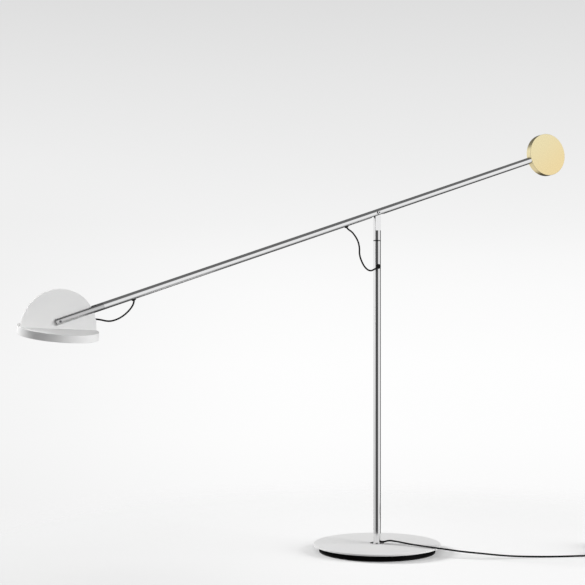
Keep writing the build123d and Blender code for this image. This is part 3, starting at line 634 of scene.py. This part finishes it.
def grown(name, sizes, build, material, place):
    """Mesh grown by a Geometry Nodes tree whose named inputs are its sizes."""
    tree = bpy.data.node_groups.new(name, "GeometryNodeTree")
    for label, value in sizes.items():
        kind = "NodeSocketInt" if isinstance(value, int) else "NodeSocketFloat"
        tree.interface.new_socket(name=label, in_out="INPUT", socket_type=kind)
    tree.interface.new_socket(name="Geometry", in_out="OUTPUT", socket_type="NodeSocketGeometry")
    link = Link(tree)
    start = link.node("NodeGroupInput")
    shape = build(link, {label: start.other(label) for label in sizes})
    solid = link.node("GeometryNodeRealizeInstances", None, {0: shape})
    dressed = link.node("GeometryNodeSetMaterial", None, {"Geometry": solid, "Material": material})
    link.node("NodeGroupOutput", None, {0: dressed})
    made = bpy.data.objects.new(name, bpy.data.meshes.new(name))
    scene.collection.objects.link(made)
    grow = made.modifiers.new("grow", "NODES")
    grow.node_group = tree
    for socket in tree.interface.items_tree:
        if socket.in_out == "INPUT":
            grow[socket.identifier] = sizes[socket.name]
    bpy.context.view_layer.update()
    mesh = bpy.data.meshes.new_from_object(made.evaluated_get(bpy.context.evaluated_depsgraph_get()))
    made.modifiers.remove(grow)
    made.data = mesh
    mesh.transform(place)
    smoothed(mesh, material)
    return made


def joined(link, *shapes):
    both = link.node("GeometryNodeJoinGeometry")
    for shape in shapes:
        link.tree.links.new(shape.socket, both.socket.node.inputs[0])
    return both


def upright_pin(link, radius, low, tall):
    """Plain cylinder that stands on a level."""
    pin = link.node("GeometryNodeMeshCylinder", None, {"Vertices": 48, "Radius": radius, "Depth": tall})
    lift = link.node("ShaderNodeCombineXYZ", None, {"Z": low + tall * 0.5})
    return link.node("GeometryNodeTransform", None, {"Geometry": pin, "Translation": lift})


def fluted_cap(link, size):
    """Cap with a fluted wall and a rounded shoulder, on a shaft with a retaining flange."""
    spot = link.node("GeometryNodeInputPosition")
    turn = link.math("ARCTAN2", spot.part(1), spot.part(0))
    tall = size["Height"] + size["Shoulder"]
    grid = link.node("GeometryNodeMeshCylinder", None,
                     {"Vertices": 180, "Side Segments": 12, "Radius": size["Radius"], "Depth": tall})
    dip = (1 - link.math("COSINE", turn * size["Flutes"])) * size["Flute depth"] * 0.5
    up = spot.part(2) + tall * 0.5
    over = link.math("MAXIMUM", up - size["Height"], 0.0)
    rounding = size["Shoulder"] - link.math("SQRT", size["Shoulder"] * size["Shoulder"] - over * over)
    flat = link.node("ShaderNodeCombineXYZ", None, {"X": spot.part(0), "Y": spot.part(1)})
    share = link.math("DIVIDE", (dip + rounding) * -1, size["Radius"])
    inward = flat.node("ShaderNodeVectorMath", {"operation": "SCALE"}, {0: flat, "Scale": share})
    lifted = inward.vector("ADD", link.node("ShaderNodeCombineXYZ", None, {"Z": tall * 0.5}))
    cap = link.node("GeometryNodeSetPosition", None, {"Geometry": grid, "Offset": lifted})
    foot = size["Shaft below"] * -1
    shaft = upright_pin(link, size["Shaft radius"], foot, size["Shaft below"] + size["Shaft inside"])
    flange = upright_pin(link, size["Flange radius"], foot, size["Flange height"])
    return joined(link, cap, shaft, flange)


knob = grown("fluted_knob", KNOB_SIZES, fluted_cap, white_moulding, KNOB_PLACE)
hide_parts("dimmer_button")
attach(knob, "button")
black_moulding = finish("black_moulding", nylon((0.012, 0.012, 0.012), (0.018, 0.018, 0.018)))
dress(black_moulding, "dimmer_switch")

# ---- free leads -------------------------------------------------------------------------------
# Thin round black leads that leave the stem's neck and the arm, and hang free across the joints.
# Each is in two halves that meet where it hangs.
LEAD_R = 1.55
HEAD_LEAD_R = 1.5
ELBOW_ROUTE = [
    (-1.61, -8.45, 539.1),
    (-3.0, -15.8, 539.1),
    (-9.0, -21.3, 538.6),
    (-17.6, -22.3, 533.9),
    (-26.2, -18.8, 529.6),
    (-33.6, -14.2, 535.2),
    (-38.9, -9.6, 546.4),
    (-42.6, -6.2, 561.5),
    (-40.6, -4.2, 573.5),
    (-43.3, -2.2, 588.2),
    (-54.2, -0.6, 603.2),
    (-62.75, 0, 607.83),
    (-66.15, 0, 611.48),
]
ELBOW_SPLIT = 7                     # the cut is halfway from this point to the next
HEAD_ROUTE = [
    (-490.51, 0, 476.05),
    (-490.95, 0, 471.07),
    (-495.2, 0.4, 463.6),
    (-501.1, 0.7, 456.8),
    (-509.5, 1.1, 449.6),
    (-520.5, 1.6, 443.4),
    (-535.5, 2.0, 439.4),
    (-553.77, 2.98, 443.75),
    (-560.78, 2.61, 444.08),
]
HEAD_SPLIT = 4


def sheathed(name, points, radius):
    """Mesh tube round a smooth NURBS line through a route, and the line's own points."""
    curve = bpy.data.curves.new(name, "CURVE")
    curve.dimensions = "3D"
    curve.resolution_u = 12
    line = curve.splines.new("NURBS")
    line.points.add(len(points) - 1)
    for target, point in zip(line.points, points):
        target.co = (*(Vector(point) * MM), 1)
    line.order_u = 3
    line.use_endpoint_u = True
    holder = bpy.data.objects.new(name, curve)
    scene.collection.objects.link(holder)
    bpy.context.view_layer.update()
    bare = bpy.data.meshes.new_from_object(holder.evaluated_get(bpy.context.evaluated_depsgraph_get()))
    centreline = [tuple(vertex.co) for vertex in bare.vertices]
    curve.bevel_depth = radius * MM
    curve.bevel_resolution = 6
    curve.use_fill_caps = True
    bpy.context.view_layer.update()
    mesh = bpy.data.meshes.new_from_object(holder.evaluated_get(bpy.context.evaluated_depsgraph_get()))
    bpy.data.objects.remove(holder)
    smoothed(mesh, cord_sheath, 50)
    tube = bpy.data.objects.new(name, mesh)
    scene.collection.objects.link(tube)
    return tube, centreline


def halves(route, split):
    """The route cut at the middle of one of its runs."""
    cut = tuple((before + after) / 2 for before, after in zip(route[split], route[split + 1]))
    return route[: split + 1] + [cut], [cut] + route[split + 1:]


def free_lead(node, points, radius):
    """One half of a lead, as a fixed tube in place of its hidden node."""
    tube, centreline = sheathed(node + "_sheath", points, radius)
    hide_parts(node)
    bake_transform(tube)


elbow_lower, elbow_upper = halves(ELBOW_ROUTE, ELBOW_SPLIT)
head_upper, head_lower = halves(HEAD_ROUTE, HEAD_SPLIT)
free_lead("elbow_lead_lower", elbow_lower, LEAD_R)
free_lead("elbow_lead_upper", elbow_upper, LEAD_R)
free_lead("head_lead_upper", head_upper, HEAD_LEAD_R)
free_lead("head_lead_lower", head_lower, HEAD_LEAD_R)

# ---- supply cord ------------------------------------------------------------------------------
# Round black two-core cord. It leaves the stem's foot, crosses the base and the table out of the
# picture, and what is left is wound in a neat coil of four layers that ends in the adapter.
SUPPLY_R = 1.6
SUPPLY_ROUTE = [
    (4.09, -6.40, 18.5),
    (7.9, -12.35, 18.5),
    (12.9, -20.1, 22.3),
    (21.5, -33.6, 21.8),
    (35.6, -55.6, 19.2),
    (52.8, -82.6, 17.4),
    (73.9, -113.8, 16.1),
    (99.5, -138.3, 12.8),
    (134.1, -158.5, 9.3),
    (172.3, -173.8, 4.6),
    (209.7, -186.4, 2.2),
    (251.7, -205.4, 1.65),
    (296.0, -222.1, 1.8),
    (326.5, -235.0, 2.5),
    (351.3, -247.9, 2.5),
]
COIL_HEADING = Vector((0.8878, -0.4602, 0))
COIL_LEFT = Vector((0.4602, 0.8878, 0))
COIL_IN = 4.0                       # straight length before the first turn
COIL_OUT = 12.0                     # straight length after the last
COIL_PITCH = 3.7
INNER_TURN = 15.0                   # radius of the coil's inner half turns
TURN_STEP = COIL_PITCH / 2
OUTWARD = [INNER_TURN + TURN_STEP * index for index in range(5)]
STEPS = 6                           # control points to each half turn
INSIDE = 0.75 + 0.25 * math.cos(math.pi / STEPS)    # the smooth line's radius over its points'


def coil_half_turns():
    """Radius and climb of each half turn: four layers, spiralling in and out in turn."""
    inner_climb = [(INNER_TURN - TURN_STEP, COIL_PITCH)]
    outer_climb = [(OUTWARD[-1] + TURN_STEP, COIL_PITCH)]
    outward = [(radius, 0) for radius in OUTWARD]
    inward = outward[::-1]
    return inward[1:] + inner_climb + outward + outer_climb + inward + inner_climb + outward


def coil_route(here, heading, left):
    """The coil's control points, and those of the straight that leads out of it."""
    here = here + heading * COIL_IN
    points = []
    for radius, climb in coil_half_turns() + [(OUTWARD[-1] + TURN_STEP, None)]:
        centre = here + left * radius
        for step in range(STEPS if climb is not None else STEPS // 2):
            turn = math.pi * (step + 0.5) / STEPS
            around = heading * math.sin(turn) - left * math.cos(turn)
            rise = (climb or 0) * (1 - math.cos(turn)) / 2
            points.append(centre + around * (radius / INSIDE) + Vector((0, 0, rise)))
        if climb is not None:
            here = here + left * (2 * radius) + Vector((0, 0, climb))
            heading, left = -heading, -left
    end = centre + heading * radius
    return points + [end + left * (COIL_OUT / 2), end + left * COIL_OUT]


coil = coil_route(Vector(SUPPLY_ROUTE[-1]), COIL_HEADING, COIL_LEFT)
supply, supply_line = sheathed("supply_cord_sheath", SUPPLY_ROUTE + coil, SUPPLY_R)
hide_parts("supply_cord", "cord_coil")
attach(supply, "base")

# ---- cord tie ---------------------------------------------------------------------------------
# Woven black strap round the coil's turns, with a plain weave.


def woven_strap(where):
    weft = where.math("SINE", where.part(2) * 9000)
    warp = where.math("SINE", where.dot((0.8878, -0.4602, 0)) * 9000)
    weave = weft * warp * 0.5 + 0.5
    return {
        "Base Color": mixed(weave, (0.006, 0.006, 0.006), (0.022, 0.022, 0.022)),
        "Roughness": 0.85 - weave * 0.1,
        "Specular IOR Level": 0.2,
        "Normal": bump(weave, 0.0002, 0.5),
    }


dress(finish("woven_strap", woven_strap), "cord_tie")

# ---- mains adapter ----------------------------------------------------------------------------
# Two-part moulded shell with round plated pins, finger ribs on its sides and a segmented strain
# relief, all black. Its board carries a transformer and two capacitors.
ADAPTER = Matrix.Translation((coil[-1].x * MM, coil[-1].y * MM, 0)) @ Matrix.Rotation(
    math.atan2(COIL_LEFT.y, COIL_LEFT.x), 4, "Z")
RELIEF_SIZES = {"Segments": 7, "Pitch": 2.7 * MM, "Segment": 1.7 * MM, "Thin end": 2.5 * MM,
                "Thick end": 3.6 * MM, "Length": 20.4 * MM, "Core step": 0.55 * MM}
RIB_SIZES = {"Ribs": 8, "Pitch": 3.2 * MM, "Rib radius": 0.7 * MM, "Rib length": 15.0 * MM}


def segmented_relief(link, size):
    """Tapered core with rings along it that grow towards the case."""
    slim = size["Thin end"] - size["Core step"]
    stout = size["Thick end"] - size["Core step"]
    taper = {"Vertices": 48, "Radius Bottom": slim, "Radius Top": stout, "Depth": size["Length"]}
    core = link.node("GeometryNodeMeshCone", None, taper)
    apart = link.node("ShaderNodeCombineXYZ", None, {"Z": size["Pitch"]})
    first = link.node("ShaderNodeCombineXYZ", None, {"Z": size["Segment"] * 0.7})
    row = {"Count": size["Segments"], "Start Location": first, "Offset": apart}
    line = link.node("GeometryNodeMeshLine", None, row)
    ring = {"Vertices": 48, "Radius": 1.0, "Depth": size["Segment"]}
    disc = link.node("GeometryNodeMeshCylinder", None, ring)
    share = link.math("DIVIDE", link.node("GeometryNodeInputIndex"), size["Segments"] - 1)
    wide = size["Thin end"] + (size["Thick end"] - size["Thin end"]) * share
    scale = link.node("ShaderNodeCombineXYZ", None, {"X": wide, "Y": wide, "Z": 1.0})
    placed = {"Points": line, "Instance": disc, "Scale": scale}
    rings = link.node("GeometryNodeInstanceOnPoints", None, placed)
    return joined(link, core, rings)


def finger_ribs(link, size):
    """A row of upright half-sunk bars."""
    apart = link.node("ShaderNodeCombineXYZ", None, {"X": size["Pitch"]})
    line = link.node("GeometryNodeMeshLine", None, {"Count": size["Ribs"], "Offset": apart})
    bar = link.node("GeometryNodeMeshCylinder", None, {"Vertices": 16, "Radius": size["Rib radius"],
                                                       "Depth": size["Rib length"]})
    return link.node("GeometryNodeInstanceOnPoints", None, {"Points": line, "Instance": bar})


along_adapter = Matrix.Translation((0, 0, coil[-1].z * MM)) @ Matrix.Rotation(math.radians(90), 4, "Y")
relief = grown("segmented_relief", RELIEF_SIZES, segmented_relief, black_rubber, ADAPTER @ along_adapter)
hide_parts("adapter_relief")
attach(relief, "base")
for side, label in ((-1, "near"), (1, "far")):
    grip = ADAPTER @ Matrix.Translation((0.030, side * 0.0167, 0.013))
    row = grown(label + "_finger_ribs", RIB_SIZES, finger_ribs, black_moulding, grip)
    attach(row, "base")


def circuit_board(where):
    cells = {"Vector": where, "Scale": 320.0}
    tracks = where.node("ShaderNodeTexVoronoi", {"feature": "DISTANCE_TO_EDGE"}, cells)
    return {
        "Base Color": mixed(tracks.step(0.02, 0.1), (0.10, 0.30, 0.12), (0.015, 0.10, 0.03)),
        "Roughness": 0.35 + noise(where, 300) * 0.15,
    }


def plated(where):
    wear = noise(where, 240, 3)
    return {
        "Base Color": mixed(wear.step(0.35, 0.65), (0.70, 0.66, 0.56), (0.78, 0.75, 0.68)),
        "Metallic": 1.0,
        "Roughness": 0.2 + wear * 0.12,
        "Normal": bump(noise(where, 1500), 0.00003, 0.2),
    }


dress(black_moulding, "adapter_case", "adapter_lid")
dress(finish("circuit_board", circuit_board), "adapter_board")
dress(finish("plated_brass", plated), "adapter_pins")
